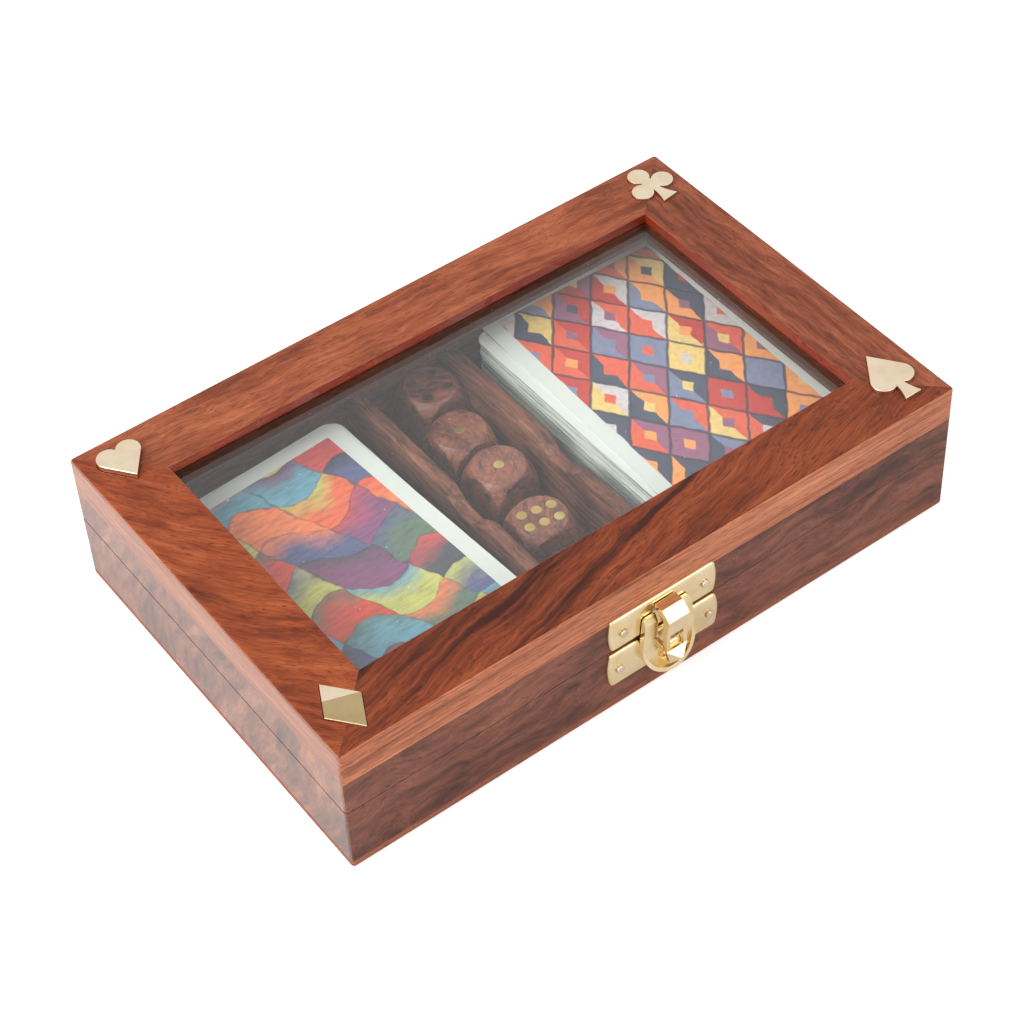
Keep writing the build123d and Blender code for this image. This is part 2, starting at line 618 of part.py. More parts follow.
with BuildPart() as latch_stirrup:
    arm_half = STIRRUP_TOP_W / 2
    arm_rise = STIRRUP_TOP - STIRRUP_CENTRE
    arm_reach = hypot(arm_half, arm_rise)
    touch_angle = atan2(arm_rise, arm_half) - acos(STIRRUP_R / arm_reach)
    touch = (STIRRUP_R * cos(touch_angle), STIRRUP_R * sin(touch_angle))
    slot_z = STIRRUP_WEB + SLOT_R - STIRRUP_R
    stirrup_plane = FRONT.shift_origin((LATCH_X, FRONT_Y, STIRRUP_CENTRE))
    with BuildSketch(stirrup_plane.offset(BASE_PLATE_T)) as yoke:
        Polygon((-arm_half, arm_rise), (arm_half, arm_rise), touch, (-touch[0], touch[1]), align=None)
        fillet(yoke.vertices().group_by(Axis.Y)[-1], SHOULDER_R)
        Circle(STIRRUP_R)
        with Locations((0, slot_z)):
            Circle(SLOT_R, mode=Mode.SUBTRACT)
            Rectangle(2 * SLOT_R, arm_rise - slot_z, align=(Align.CENTER, Align.MIN), mode=Mode.SUBTRACT)
    extrude(yoke.sketch, amount=STIRRUP_T)
    arm_bevel = [
        (STIRRUP_FACE - ARM_BEVEL / 2, STIRRUP_TOP),
        (STIRRUP_FACE, STIRRUP_TOP - ARM_BEVEL),
        (STIRRUP_FACE + CUT_PAST, STIRRUP_TOP - ARM_BEVEL),
        (STIRRUP_FACE + CUT_PAST, STIRRUP_TOP),
    ]
    side_profile(arm_bevel, STIRRUP_W, mode=Mode.SUBTRACT)
    with BuildSketch(stirrup_plane.offset(STIRRUP_FACE)) as lip:
        Circle(STIRRUP_R)
        Circle(STIRRUP_R - STIRRUP_LIP_T, mode=Mode.SUBTRACT)
        Rectangle(STIRRUP_W, STIRRUP_R, align=(Align.CENTER, Align.MIN), mode=Mode.SUBTRACT)
    extrude(lip.sketch, amount=STIRRUP_LIP)
    lip_end = STIRRUP_FACE + STIRRUP_LIP
    lip_cut = [
        (STIRRUP_FACE, STIRRUP_CENTRE),
        (lip_end, STIRRUP_CENTRE - STIRRUP_R),
        (lip_end + CUT_PAST, STIRRUP_CENTRE - STIRRUP_R),
        (lip_end + CUT_PAST, STIRRUP_CENTRE + CUT_PAST),
        (STIRRUP_FACE, STIRRUP_CENTRE + CUT_PAST),
    ]
    side_profile(lip_cut, STIRRUP_W, mode=Mode.SUBTRACT)
    for lug_start in (LATCH_X - SLOT_R, LATCH_X + SLOT_R - LUG_T):
        with BuildSketch(Plane.YZ.offset(lug_start)) as lug:
            with Locations(profile_point(PIVOT_H, PIVOT_Z)):
                Circle(CATCH_BARREL_R)
            with Locations(profile_point((PIVOT_H + BASE_PLATE_T) / 2, PIVOT_Z)):
                Rectangle(PIVOT_H - BASE_PLATE_T, 2 * CATCH_BARREL_R)
            with Locations(profile_point(PIVOT_H, PIVOT_Z)):
                Circle(PIVOT_PIN_R + RUN_FIT / 2, mode=Mode.SUBTRACT)
        extrude(lug.sketch, amount=LUG_T)
latch_stirrup.part.label = "latch_stirrup"
export_step(latch_stirrup.part, "parts/latch_stirrup.step")

with BuildPart() as latch_pivot_pin:
    with BuildSketch(Plane.YZ.offset(LATCH_X)):
        with Locations(profile_point(PIVOT_H, PIVOT_Z)):
            Circle(PIVOT_PIN_R)
    extrude(amount=SLOT_R, both=True)
latch_pivot_pin.part.label = "latch_pivot_pin"
export_step(latch_pivot_pin.part, "parts/latch_pivot_pin.step")

with BuildPart() as latch_catch:
    inner_face = CATCH_FACE_H - CATCH_T
    slope_foot = HOOK_TOP - HOOK_SLOPE
    inner_knee = HOOK_T / 2
    beak_brow = PIVOT_Z - BEAK_BROW
    beak_point = PIVOT_Z - BEAK_POINT
    beak_chin = PIVOT_Z - BEAK_CHIN
    window_top = beak_brow + WINDOW_H
    beak_back = PIVOT_H + CATCH_BARREL_R + CATCH_PLAY
    barrel_top = PIVOT_Z + CATCH_BARREL_R
    barrel_foot = PIVOT_Z - CATCH_BARREL_R
    hook_points = [
        (HOOK_BACK, HOOK_TOP),
        (CATCH_TOP_H, HOOK_TOP),
        (CATCH_FACE_H, slope_foot),
        (BEAK_FACE_H, window_top),
        (BEAK_FACE_H, beak_brow),
        (beak_back, beak_brow),
        (beak_back, barrel_top - CATCH_BARREL_R / 2),
        (inner_face, barrel_top + CATCH_PLAY),
        (inner_face, slope_foot - inner_knee),
        (CATCH_TOP_H - inner_knee, HOOK_UNDER),
        (HOOK_BACK, HOOK_UNDER),
    ]
    side_profile(hook_points, CATCH_W / 2)
    with BuildSketch(FRONT):
        with Locations((LATCH_X, beak_brow + WINDOW_H / 2)):
            Rectangle(CATCH_W - 2 * WINDOW_SIDE, WINDOW_H)
    extrude(amount=CATCH_FACE_H + CUT_PAST, mode=Mode.SUBTRACT)
    root_points = [
        (CATCH_W / 2, beak_brow),
        (BEAK_CHIN_W / 2, beak_chin),
        (-BEAK_CHIN_W / 2, beak_chin),
        (-CATCH_W / 2, beak_brow),
    ]
    tip_points = [
        (BEAK_TIP_W / 2, beak_point + BEAK_TIP_L / 2),
        (BEAK_TIP_W / 2, beak_point - BEAK_TIP_L / 2),
        (-BEAK_TIP_W / 2, beak_point - BEAK_TIP_L / 2),
        (-BEAK_TIP_W / 2, beak_point + BEAK_TIP_L / 2),
    ]
    with BuildSketch(FRONT.offset(beak_back)) as root:
        with Locations((LATCH_X, 0)):
            Polygon(*root_points, align=None)
    extrude(root.sketch, amount=BEAK_FACE_H - beak_back)
    with BuildSketch(FRONT.offset(BEAK_FACE_H)) as foot:
        with Locations((LATCH_X, 0)):
            Polygon(*root_points, align=None)
    with BuildSketch(FRONT.offset(BEAK_TIP_H)) as tip:
        with Locations((LATCH_X, 0)):
            Polygon(*tip_points, align=None)
    loft([foot.sketch, tip.sketch])
    with BuildSketch(Plane.YZ.offset(LATCH_X)) as hub:
        with Locations(profile_point(PIVOT_H, PIVOT_Z)):
            Circle(CATCH_BARREL_R)
        with Locations(profile_point((PIVOT_H + BEAK_FACE_H) / 2, (barrel_foot + beak_brow) / 2)):
            Rectangle(BEAK_FACE_H - PIVOT_H, beak_brow - barrel_foot)
    extrude(hub.sketch, amount=HUB_W / 2, both=True)
    with BuildSketch(Plane.YZ.offset(LATCH_X)) as bore:
        with Locations(profile_point(PIVOT_H, PIVOT_Z)):
            Circle(PIVOT_PIN_R + RUN_FIT)
    extrude(bore.sketch, amount=CATCH_W, both=True, mode=Mode.SUBTRACT)
latch_catch.part.label = "latch_catch"
export_step(latch_catch.part, "parts/latch_catch.step")

# ---------------------------------------------------------------- decks of cards
BAY_X = (DICE_BAY_W + CARD_BAY_W) / 2 + PARTITION_T
DECK_TOP = BOTTOM_T + DECK_H

# card bay (x sign), centre from the middle of the bay as shares of the room round the cards,
# turn, lower face, thickness
CARD_PIECES = {
    "deck_left": (-1, (-0.04, -0.16), 2.4, BOTTOM_T, DECK_H),
    "card_left_top": (-1, (-0.06, -0.208), 3.7, DECK_TOP, CARD_T),
    "deck_right": (1, (0.02, 0.112), 0.2, BOTTOM_T, DECK_H),
    "card_right_second": (1, (-0.04, 0.088), 0.4, DECK_TOP, CARD_T),
    "card_right_top": (1, (0.19, 0.408), -1.4, DECK_TOP + CARD_T, CARD_T),
}

for name, (bay, shift, turn, z, thickness) in CARD_PIECES.items():
    card_x = bay * BAY_X + shift[0] * CARD_ROOM_X
    card_y = shift[1] * CARD_ROOM_Y
    with BuildPart() as cards:
        with BuildSketch(Plane.XY.offset(z)):
            with Locations(Location((card_x, card_y, 0), (0, 0, turn))):
                RectangleRounded(CARD_W, CARD_L, CARD_CORNER_R)
        extrude(amount=thickness)
    cards.part.label = name
    export_step(cards.part, f"parts/{name}.step")

# ---------------------------------------------------------------- dice
DIE_ROUND_R = sqrt(DIE_SIZE**2 + DIE_FLAT_D**2) / 2
PIP_LAYOUTS = {
    1: [(0, 0)],
    2: [(-1, -1), (1, 1)],
    3: [(-1, -1), (0, 0), (1, 1)],
    4: [(-1, -1), (-1, 1), (1, -1), (1, 1)],
    5: [(-1, -1), (-1, 1), (1, -1), (1, 1), (0, 0)],
}
SIX = [(PIP_ROW_PITCH * i, PIP_PITCH / 2 * j) for i in (-1, 0, 1) for j in (-1, 1)]
FACE_TURNS = {1: (0, 0, 0), 2: (90, 0, 0), 3: (0, 90, 0), 4: (0, -90, 0), 5: (-90, 0, 0), 6: (180, 0, 0)}


def face_pips(number):
    """Pip centres of one face, from its middle."""
    if number == 6:
        return SIX
    return [(PIP_CORNER * i, PIP_CORNER * j) for i, j in PIP_LAYOUTS[number]]


def pip_cylinders(radius, mode):
    """Pips of all six faces of a die centred on the origin, one side up."""
    for number, turns in FACE_TURNS.items():
        face = Plane(Location((0, 0, 0), turns)).offset(DIE_SIZE / 2)
        with BuildSketch(face) as pips:
            with Locations(*face_pips(number)):
                Circle(radius)
        extrude(pips.sketch, amount=-PIP_DEPTH, mode=mode)


with BuildPart() as die_blank:
    Box(DIE_SIZE, DIE_SIZE, DIE_SIZE)
    Sphere(DIE_ROUND_R, mode=Mode.INTERSECT)
    pip_cylinders(PIP_D / 2 + RUN_FIT / 2, Mode.SUBTRACT)

with BuildPart() as pip_set:
    pip_cylinders(PIP_D / 2, Mode.ADD)

# sideways shift in the bay and gap behind the die as shares of the bay's spare width,
# turn, turn that brings its upper face up
DICE = {
    "die_1": (0.43, 0.08, 4.0, (0, 90, 0)),
    "die_2": (0.08, 0.31, 2.0, (0, 0, 0)),
    "die_3": (0.12, 0.15, 8.0, (0, 0, 0)),
    "die_4": (-0.12, 0.56, -10.0, (180, 0, 0)),
}

die_back = INNER_W / 2
for name, (shift, gap, turn, roll) in DICE.items():
    die_y = die_back - gap * DICE_ROOM - DIE_SIZE / 2
    die_back = die_y - DIE_SIZE / 2
    place = Location((shift * DICE_ROOM, die_y, BOTTOM_T + DIE_SIZE / 2), (0, 0, turn))
    with BuildPart() as die:
        with Locations(place * Location((0, 0, 0), roll)):
            add(die_blank.part)
    die.part.label = name
    export_step(die.part, f"parts/{name}.step")

    with BuildPart() as pips:
        with Locations(place * Location((0, 0, 0), roll)):
            add(pip_set.part)
    pips.part.label = f"{name}_pips"
    export_step(pips.part, f"parts/{name}_pips.step")
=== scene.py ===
"""Wooden games box with a glazed lid: finish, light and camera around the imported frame.

Metres, +Z up. The latch is on the front at -Y and the hinges are on the back at +Y.
"""

import json
import random
from math import cos, pi, radians, sin, tau

import bmesh
import bpy
from mathutils import Matrix, Quaternion, Vector


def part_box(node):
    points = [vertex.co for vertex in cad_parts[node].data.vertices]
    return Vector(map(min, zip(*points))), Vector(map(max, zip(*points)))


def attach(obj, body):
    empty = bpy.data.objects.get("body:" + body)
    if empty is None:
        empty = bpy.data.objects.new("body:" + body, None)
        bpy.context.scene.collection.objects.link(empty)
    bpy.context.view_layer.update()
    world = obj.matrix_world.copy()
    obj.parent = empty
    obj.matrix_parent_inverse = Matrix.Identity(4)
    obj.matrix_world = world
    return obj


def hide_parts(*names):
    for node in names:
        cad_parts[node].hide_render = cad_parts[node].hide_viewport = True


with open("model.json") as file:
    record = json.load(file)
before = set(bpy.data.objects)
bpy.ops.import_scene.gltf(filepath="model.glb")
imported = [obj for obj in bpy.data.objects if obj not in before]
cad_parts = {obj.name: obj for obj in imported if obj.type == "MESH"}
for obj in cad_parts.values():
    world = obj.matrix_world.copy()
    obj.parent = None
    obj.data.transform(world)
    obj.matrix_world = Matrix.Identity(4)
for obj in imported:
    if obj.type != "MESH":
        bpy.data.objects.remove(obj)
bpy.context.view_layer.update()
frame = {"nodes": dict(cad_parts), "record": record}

MM = 0.001

# ---- Card measures; the places of the decks come from the frame ----
CARD_W = 57.0 * MM
CARD_L = 89.0 * MM
CARD_CORNER_R = 3.5 * MM
CARD_T = 0.35 * MM
CARD_BORDER_X = 4.5 * MM
CARD_BORDER_Y = 4.3 * MM

# ---- Edge roundings ----
WOOD_EDGE = 0.28 * MM
BRASS_EDGE = 0.22 * MM
PLATE_EDGE = 0.4 * MM
INLAY_EDGE = 0.3 * MM
PIP_EDGE = 0.12 * MM
DIE_EDGE = 1.0 * MM

# ---- Heights of the two glue lines, and of the top of the glass ----
GLUED_Z = (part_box("bottom_board")[1].z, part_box("lid_rail_front")[0].z)
GLASS_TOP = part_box("glass_pane")[1].z


# ------------------------------------------------------------------ shader helpers
def new_material(name):
    """An empty material with its output and one Principled shader."""
    material = bpy.data.materials.new(name)
    material.use_nodes = True
    tree = material.node_tree
    tree.nodes.clear()
    shader = tree.nodes.new("ShaderNodeBsdfPrincipled")
    output = tree.nodes.new("ShaderNodeOutputMaterial")
    tree.links.new(shader.outputs["BSDF"], output.inputs["Surface"])
    return material, tree, shader


def put(tree, kind, inputs=None, **settings):
    """Add a node. Inputs that are sockets are linked, and others are set."""
    made = tree.nodes.new(kind)
    for key, value in settings.items():
        setattr(made, key, value)
    for key, value in (inputs or {}).items():
        plug(tree, made.inputs[key], value)
    return made


def plug(tree, socket, value):
    """Link a socket to another, or set its value."""
    if isinstance(value, bpy.types.NodeSocket):
        tree.links.new(value, socket)
    else:
        socket.default_value = value


def maths(tree, operation, *values, clamp=False):
    """One maths node on sockets or numbers."""
    made = put(tree, "ShaderNodeMath", dict(enumerate(values)), operation=operation, use_clamp=clamp)
    return made.outputs[0]


def mask(tree, value, gain, offset):
    """The value times the gain plus the offset, kept between 0 and 1."""
    return maths(tree, "MULTIPLY_ADD", value, gain, offset, clamp=True)


def vector_maths(tree, operation, inputs):
    """One vector maths node."""
    return put(tree, "ShaderNodeVectorMath", inputs, operation=operation).outputs[0]


def flat_vector(tree, x, y, z=0.0):
    """A vector of two or three values."""
    return put(tree, "ShaderNodeCombineXYZ", {0: x, 1: y, 2: z}).outputs[0]


def place_in_mm(tree, scale=(1, 1, 1)):
    """Place in the part's own frame, in millimetres times the scale."""
    place = put(tree, "ShaderNodeTexCoord").outputs["Object"]
    inputs = {"Vector": place, "Scale": tuple(s / MM for s in scale)}
    return put(tree, "ShaderNodeMapping", inputs).outputs["Vector"]


def noise(tree, vector, scale, detail=3.0, roughness=0.55):
    """Noise value of a vector in millimetres; scale is features per millimetre."""
    inputs = {"Vector": vector, "Scale": scale, "Detail": detail, "Roughness": roughness}
    return put(tree, "ShaderNodeTexNoise", inputs).outputs["Fac"]


def grain_noise(tree, vector, along, across, detail=3.0, roughness=0.55):
    """Noise drawn out along the grain; the scales are features per millimetre."""
    drawn = put(tree, "ShaderNodeMapping", {"Vector": vector, "Scale": (along, across, across)})
    return noise(tree, drawn.outputs["Vector"], 1.0, detail, roughness)


def edge_nearness(tree, share):
    """0 in the middle of a cell and 0.5 at its edges."""
    return maths(tree, "ABSOLUTE", maths(tree, "SUBTRACT", share, 0.5))


def raised(tree, height, strength, depth):
    """Normal of a bumpy surface; depth is the height of its bumps."""
    inputs = {"Height": height, "Strength": strength, "Distance": depth}
    return put(tree, "ShaderNodeBump", inputs).outputs["Normal"]


def ramp(tree, value, stops, interpolation="LINEAR"):
    """Colour ramp from (position, colour) stops."""
    made = put(tree, "ShaderNodeValToRGB", {"Fac": value})
    made.color_ramp.interpolation = interpolation
    elements = made.color_ramp.elements
    while len(elements) < len(stops):
        elements.new(0.5)
    for element, (position, colour) in zip(elements, stops):
        element.position = position
        element.color = (*colour, 1)
    return made.outputs["Color"]


def mix(tree, amount, first, second, blend="MIX"):
    """Blend two colours, each of them a socket or a tuple."""
    made = put(tree, "ShaderNodeMix", data_type="RGBA", blend_type=blend)
    plug(tree, made.inputs["Factor"], amount)
    for key, colour in (("A", first), ("B", second)):
        plug(tree, made.inputs[key], (*colour, 1) if isinstance(colour, tuple) else colour)
    return next(s for s in made.outputs if s.type == "RGBA")


def srgb(red, green, blue):
    """Linear colour of an 8-bit sRGB one."""
    def linear(value):
        value /= 255
        return value / 12.92 if value <= 0.04045 else ((value + 0.055) / 1.055) ** 2.4
    return linear(red), linear(green), linear(blue)


def grey(level):
    """A neutral colour."""
    return level, level, level


# ------------------------------------------------------------------ wood
GROWTH_SHARE = 0.6         # of the growth streaks in the figure; the wider bands have the rest
TONE_SPREAD = 0.17         # noise from the middle tone to the dark or light one, at contrast 1
HANDLED = 0.16             # how much the roughness varies where hands have been


def wood(name, turn, tones, shift=(0, 0, 0), streak=2.6, stretch=14.0, curl=3.0, contrast=0.6,
         stripes=0.0, pores=0.6, fine=0.8, roughness=0.38, coat=0.0, gloss=0.3):
    """Dense hardwood. turn brings the grain onto X (degrees); streak and curl are in millimetres.

    tones are its dark, middle and light colours; stripes is the strength of the dark heartwood
    streaks, fine that of the fibres, and gloss the specular level under the coat.
    """
    dark = tones[0]
    material, tree, shader = new_material(name)
    in_mm, warped = wood_space(tree, turn, shift, curl)
    colour = wood_figure(tree, warped, tones, streak, stretch, contrast)
    heart, vein = wood_streaks(tree, warped, streak, stretch)
    colour = mix(tree, maths(tree, "MULTIPLY", heart, stripes), colour, dark)
    colour = mix(tree, maths(tree, "MULTIPLY", vein, 0.5 * pores), colour, dark)

    fibre = grain_noise(tree, warped, along=0.14, across=4.2, detail=3.0, roughness=0.75)
    fibre_tint = ramp(tree, fibre, [(0.3, grey(0.7)), (0.5, grey(1.0)), (0.72, grey(1.25))])
    colour = mix(tree, fine, colour, fibre_tint, "MULTIPLY")
    pore = mask(tree, grain_noise(tree, warped, along=0.32, across=4.0, detail=0.0), gain=-14.0, offset=5.1)
    colour = mix(tree, maths(tree, "MULTIPLY", pore, pores), colour, dark)

    handling = noise(tree, in_mm, 0.05, detail=2.0)
    sheen = maths(tree, "ADD", roughness - HANDLED / 2, maths(tree, "MULTIPLY", handling, HANDLED))
    relief = maths(tree, "SUBTRACT", maths(tree, "MULTIPLY", fibre, 0.4), pore)
    plug(tree, shader.inputs["Base Color"], colour)
    plug(tree, shader.inputs["Roughness"], sheen)
    plug(tree, shader.inputs["Normal"], raised(tree, relief, strength=0.3, depth=0.06 * MM))
    shader.inputs["Specular IOR Level"].default_value = gloss
    shader.inputs["Coat Weight"].default_value = coat
    shader.inputs["Coat Roughness"].default_value = 0.3
    return material


def wood_space(tree, turn, shift, curl):
    """Place in millimetres with the grain along X: as it is, and bent by the curl of the wood."""
    in_mm = put(tree, "ShaderNodeMapping", {
        "Vector": put(tree, "ShaderNodeTexCoord").outputs["Object"],
        "Location": tuple(s / MM for s in shift),
        "Rotation": tuple(radians(a) for a in turn),
        "Scale": (1 / MM,) * 3,
    }).outputs["Vector"]
    sway = put(tree, "ShaderNodeTexNoise", {"Vector": in_mm, "Scale": 0.04, "Detail": 2.0}).outputs["Color"]
    centred = vector_maths(tree, "SUBTRACT", {0: sway, 1: (0.5, 0.5, 0.5)})
    bend = vector_maths(tree, "SCALE", {0: centred, "Scale": 2 * curl})
    return in_mm, vector_maths(tree, "ADD", {0: in_mm, 1: bend})


def wood_figure(tree, warped, tones, streak, stretch, contrast):
    """Colour of the growth streaks, over wider bands."""
    dark, middle, light = tones
    growth = grain_noise(tree, warped, along=1 / stretch, across=1 / streak, detail=6.0, roughness=0.68)
    bands = grain_noise(tree, warped, along=0.35 / stretch, across=0.16 / streak, detail=2.0)
    growth_part = maths(tree, "MULTIPLY", growth, GROWTH_SHARE)
    tone = maths(tree, "ADD", growth_part, maths(tree, "MULTIPLY", bands, 1 - GROWTH_SHARE))
    half = TONE_SPREAD / contrast
    return ramp(tree, tone, [(0.5 - half, dark), (0.5, middle), (0.5 + half, light)])


def wood_streaks(tree, warped, streak, stretch):
    """Where the broad heartwood streaks and the thin veins run."""
    heart = grain_noise(tree, warped, along=0.16 / stretch, across=0.42 / streak, detail=4.0)
    vein = grain_noise(tree, warped, along=0.2 / stretch, across=0.9 / streak, detail=3.0)
    heart_mask = mask(tree, heart, gain=9.0, offset=-5.0)
    vein_mask = mask(tree, edge_nearness(tree, vein), gain=-30.0, offset=1.0)
    return heart_mask, vein_mask


TOP_TONES = {
    "front": (srgb(52, 20, 12), srgb(132, 60, 32), srgb(162, 84, 48)),
    "back": (srgb(92, 40, 24), srgb(158, 83, 53), srgb(188, 110, 74)),
    "left": (srgb(82, 32, 16), srgb(156, 73, 38), srgb(184, 100, 58)),
    "right": (srgb(74, 34, 22), srgb(148, 78, 52), srgb(180, 106, 76)),
}
EDGE_TONES = (srgb(120, 60, 36), srgb(198, 116, 78), srgb(226, 150, 108))
END_EDGE_TONES = (srgb(128, 70, 48), srgb(178, 108, 76), srgb(214, 146, 108))
FRONT_TONES = (srgb(56, 30, 26), srgb(130, 74, 56), srgb(160, 98, 76))
SIDE_TONES = (srgb(40, 26, 26), srgb(136, 88, 68), srgb(198, 132, 98))
INSIDE_TONES = (srgb(52, 28, 22), srgb(122, 72, 54), srgb(158, 104, 78))
LIP_TONES = (srgb(76, 20, 8), srgb(150, 48, 20), srgb(204, 86, 40))
BARE_TONES = (srgb(26, 12, 8), srgb(70, 38, 24), srgb(104, 62, 40))
DIE_TONES = (srgb(66, 32, 26), srgb(136, 80, 62), srgb(170, 106, 80))
BOARD_EDGE_TONES = (srgb(92, 46, 30), srgb(162, 92, 62), srgb(192, 118, 82))

# Turns in degrees that bring the grain onto X: of the edges and walls, and of the rails' tops.
HEADING = {"front": 0.0, "back": 0.0, "left": -90.0, "right": -90.0}
TOP_TURN = {"front": -15.0, "back": 3.0, "left": 53.0, "right": -92.0}
OUTWARD = {"front": (0, -1, 0), "back": (0, 1, 0), "left": (-1, 0, 0), "right": (1, 0, 0)}
SIDES = tuple(HEADING)
ENDS = ("left", "right")
PLANK_STEP = 0.31          # each plank is cut from another place of the pattern
END_CURL = 62.0            # the figure of the end walls crosses their length at this angle


def rail_materials(side):
    """Top, outer edge, inner lip and bare inner face of one rail."""
    along = (0, 0, HEADING[side])
    shift = (PLANK_STEP * SIDES.index(side), 0, 0)
    stripes, stretch = (0.9, 26.0) if side == "front" else (0.3, 13.0)
    edge_tones = END_EDGE_TONES if side in ENDS else EDGE_TONES
    top = wood(f"rail_top_{side}", (0, 0, TOP_TURN[side]), TOP_TONES[side], shift, streak=2.0,
               stretch=stretch, contrast=1.0, stripes=stripes, fine=0.7, roughness=0.42, gloss=0.22)
    edge = wood(f"rail_edge_{side}", along, edge_tones, shift, streak=1.0, stretch=30.0, curl=1.0,
                contrast=1.1, roughness=0.4, **side_finish(side))
    lip = wood(f"rail_lip_{side}", along, LIP_TONES, shift, streak=1.0, stretch=24.0, curl=1.5,
               roughness=0.28, coat=0.4, gloss=0.4)
    return top, edge, lip, bare_wood(f"rail_bare_{side}", along, shift)


def bare_wood(name, turn=(0, 0, 0), shift=(0, 0, 0)):
    """Dark wood without varnish, out of sight; along the seam between lid and base it is painted shade."""
    return wood(name, turn, BARE_TONES, shift, streak=1.0, stretch=8.0, curl=1.0, roughness=0.7, gloss=0.1)


def side_finish(side):
    """The ends of the box are more heavily varnished than its front and back."""
    return {"coat": 0.9, "gloss": 0.6} if side in ENDS else {"coat": 0.0, "gloss": 0.3}


def wall_material(name, side, shift):
    """Outer walls: dark, curly figure."""
    if side in ENDS:
        return wood(name, (END_CURL, 0, HEADING[side]), SIDE_TONES, shift, streak=2.8, stretch=15.0,
                    curl=6.0, contrast=1.0, stripes=0.3, pores=0.3, fine=0.4, roughness=0.4,
                    **side_finish(side))
    return wood(name, (0, 0, HEADING[side]), FRONT_TONES, shift, streak=3.0, stretch=16.0, curl=7.0,
                contrast=1.1, stripes=0.5, fine=0.5, roughness=0.4, **side_finish(side))


# ------------------------------------------------------------------ brass, glass, card
WIPED = 0.08               # how much the roughness of brass varies


def brass(name, colour, shade, roughness):
    """Polished brass with a little tarnish, fine scratches and softened places."""
    material, tree, shader = new_material(name)
    in_mm = place_in_mm(tree)
    cloud = noise(tree, in_mm, 0.18)
    scratches = grain_noise(tree, in_mm, along=0.15, across=5.0, roughness=0.75)
    gloss = maths(tree, "ADD", roughness - WIPED / 2, maths(tree, "MULTIPLY", cloud, WIPED))
    plug(tree, shader.inputs["Base Color"], ramp(tree, cloud, [(0.25, shade), (0.6, colour)]))
    plug(tree, shader.inputs["Roughness"], gloss)
    plug(tree, shader.inputs["Normal"], raised(tree, scratches, strength=0.03, depth=0.03 * MM))
    shader.inputs["Metallic"].default_value = 1.0
    return material


def clear_glass():
    """Window glass with a trace of dust; lamps shine straight through it."""
    material, tree, shader = new_material("window_glass")
    in_mm = place_in_mm(tree)
    smear = noise(tree, in_mm, 0.06)
    tint = ramp(tree, smear, [(0.3, (0.93, 0.96, 0.95)), (0.7, (0.97, 0.985, 0.98))])
    dust = mask(tree, noise(tree, in_mm, 1.1, detail=0.0), gain=14.0, offset=-11.6)
    plug(tree, shader.inputs["Base Color"], tint)
    plug(tree, shader.inputs["Roughness"], maths(tree, "MULTIPLY", dust, 0.4))
    shader.inputs["Transmission Weight"].default_value = 1.0
    shader.inputs["IOR"].default_value = 1.5
    output = next(n for n in tree.nodes if n.bl_idname == "ShaderNodeOutputMaterial")
    shadow = put(tree, "ShaderNodeLightPath").outputs["Is Shadow Ray"]
    through = put(tree, "ShaderNodeBsdfTransparent", {"Color": (0.92, 0.94, 0.93, 1)})
    both = put(tree, "ShaderNodeMixShader", {0: shadow, 1: shader.outputs[0], 2: through.outputs[0]})
    tree.links.new(both.outputs[0], output.inputs["Surface"])
    return material


PAPER = srgb(208, 210, 204)


def paper_edge():
    """Cut edges of a deck: pale, with fine grey lines of painted shade between the cards."""
    material, tree, shader = new_material("card_edges")
    layers = noise(tree, place_in_mm(tree, (0.02, 0.02, 1)), 2.8, detail=2.0)
    # Painted shade: the dark grey stop draws the shade in the gaps between the cards.
    tint = ramp(tree, layers, [(0.4, srgb(116, 118, 114)), (0.52, PAPER), (0.7, srgb(228, 229, 224))])
    plug(tree, shader.inputs["Base Color"], tint)
    shader.inputs["Roughness"].default_value = 0.6
    return material


def card_axes(tree):
    """Millimetres from the middle of a card, across and along."""
    uv = put(tree, "ShaderNodeSeparateXYZ", {0: put(tree, "ShaderNodeTexCoord").outputs["UV"]})
    across = maths(tree, "MULTIPLY", maths(tree, "SUBTRACT", uv.outputs["X"], 0.5), CARD_W / MM)
    along = maths(tree, "MULTIPLY", maths(tree, "SUBTRACT", uv.outputs["Y"], 0.5), CARD_L / MM)
    return across, along


def finish_card(tree, shader, across, along, picture):
    """White border round a printed picture, on paper with a fine tooth."""
    half_x = (CARD_W / 2 - CARD_BORDER_X) / MM
    half_y = (CARD_L / 2 - CARD_BORDER_Y) / MM
    inside_x = maths(tree, "LESS_THAN", maths(tree, "ABSOLUTE", across), half_x)
    inside_y = maths(tree, "LESS_THAN", maths(tree, "ABSOLUTE", along), half_y)
    inside = maths(tree, "MULTIPLY", inside_x, inside_y)
    linen = noise(tree, flat_vector(tree, across, along), 3.5, detail=1.0)
    paper = ramp(tree, linen, [(0.3, srgb(204, 206, 200)), (0.7, srgb(214, 216, 210))])
    plug(tree, shader.inputs["Base Color"], mix(tree, inside, paper, picture))
    plug(tree, shader.inputs["Normal"], raised(tree, linen, strength=0.08, depth=0.03 * MM))
    shader.inputs["Roughness"].default_value = 0.38


LEFT_INKS = [
    srgb(214, 76, 60), srgb(236, 128, 82), srgb(194, 190, 106), srgb(98, 118, 100), srgb(108, 158, 176),
    srgb(92, 96, 134), srgb(134, 80, 118), srgb(200, 84, 84), srgb(78, 80, 88), srgb(226, 106, 72),
]
RIGHT_INKS = [
    srgb(226, 96, 70), srgb(244, 158, 90), srgb(126, 132, 160), srgb(72, 78, 96),
    srgb(232, 196, 120), srgb(150, 96, 122), srgb(196, 62, 52), srgb(206, 196, 196),
]
